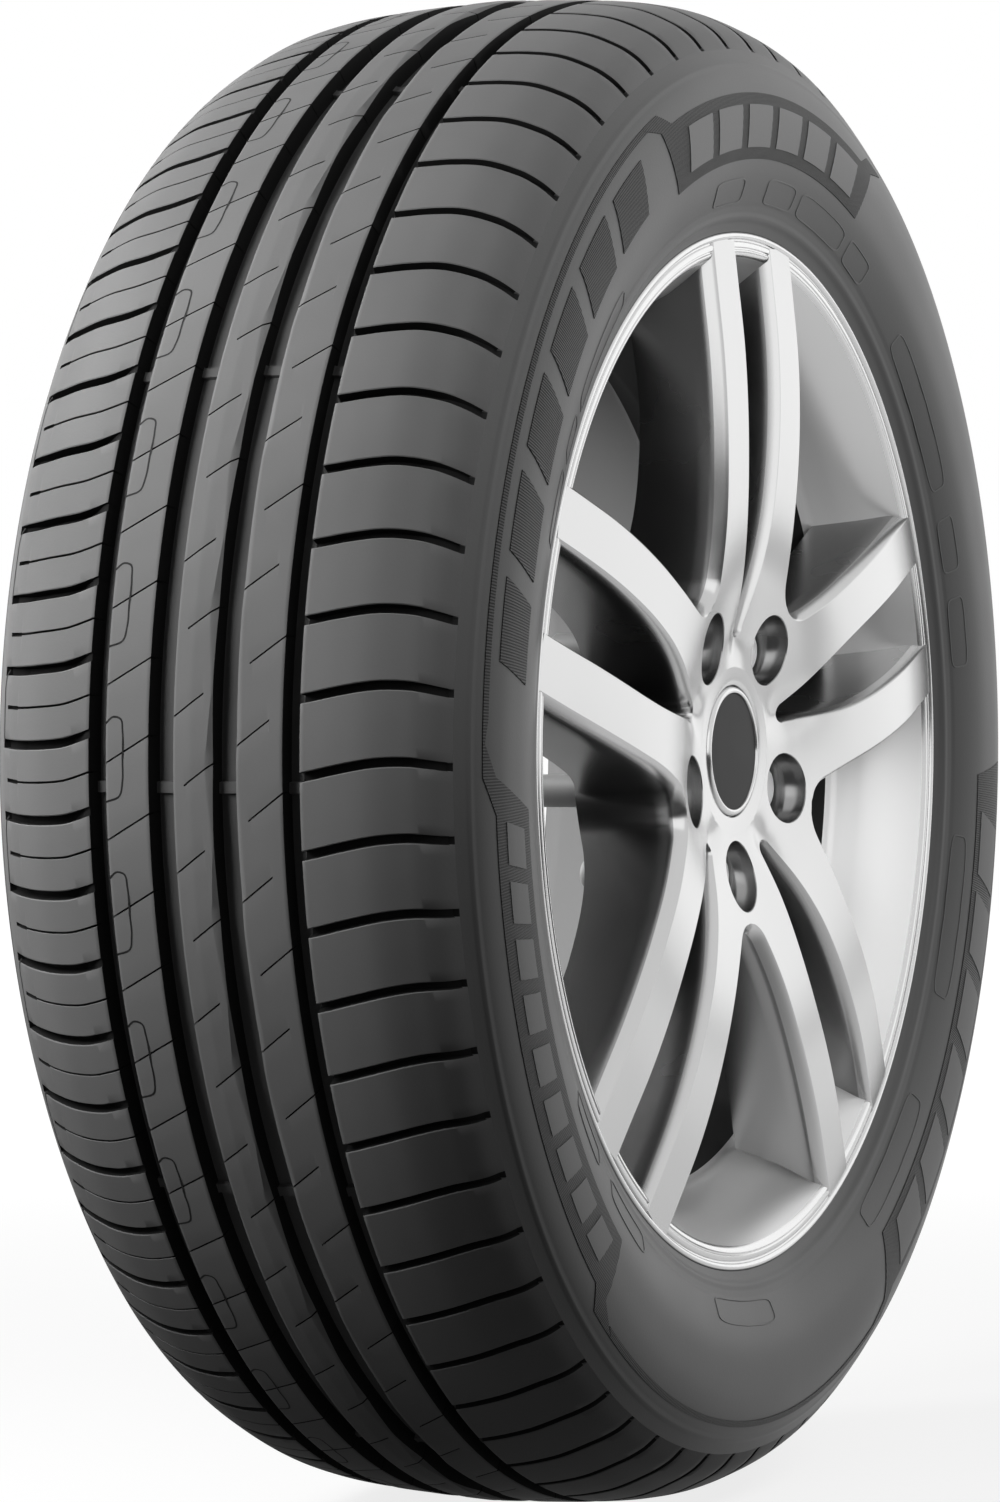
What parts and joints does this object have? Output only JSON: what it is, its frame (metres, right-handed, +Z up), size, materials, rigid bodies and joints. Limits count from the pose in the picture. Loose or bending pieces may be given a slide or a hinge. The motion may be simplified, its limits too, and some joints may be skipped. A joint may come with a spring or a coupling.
{
  "type": "car tyre on alloy wheel",
  "caption": "Road-car tyre with ribbed and slotted tread, fitted on a silver twin-spoke alloy wheel with wheel bolts, centre cap and valve.",
  "frame": {"origin": "centre of the tyre and wheel, on the axle line and midway across the tyre", "axes": "+Y along the axle from the styled face to the hub's mounting face, +Z up, +X to the right seen from the styled face"},
  "size_m": [0.6519, 0.2202, 0.652],
  "materials": {
    "tyre_rubber": "matte black rubber, satin on the sidewall",
    "silver_alloy": "silver paint under clear coat",
    "bolt_steel": "zinc-plated steel",
    "cap_silver": "silver painted plastic",
    "disc_dark": "gloss dark disc, left bare",
    "valve_rubber": "matte black rubber",
    "valve_brass": "bare brass",
    "valve_cap_black": "matte black plastic"
  },
  "bodies": {
    "root": {"tyre": "tyre_rubber", "wheel": "silver_alloy", "wheel_bolts": "bolt_steel", "centre_cap": "cap_silver", "cap_disc": "disc_dark", "valve_body": "valve_rubber", "valve_core": "valve_brass", "valve_cap": "valve_cap_black"}
  },
  "joints": []
}
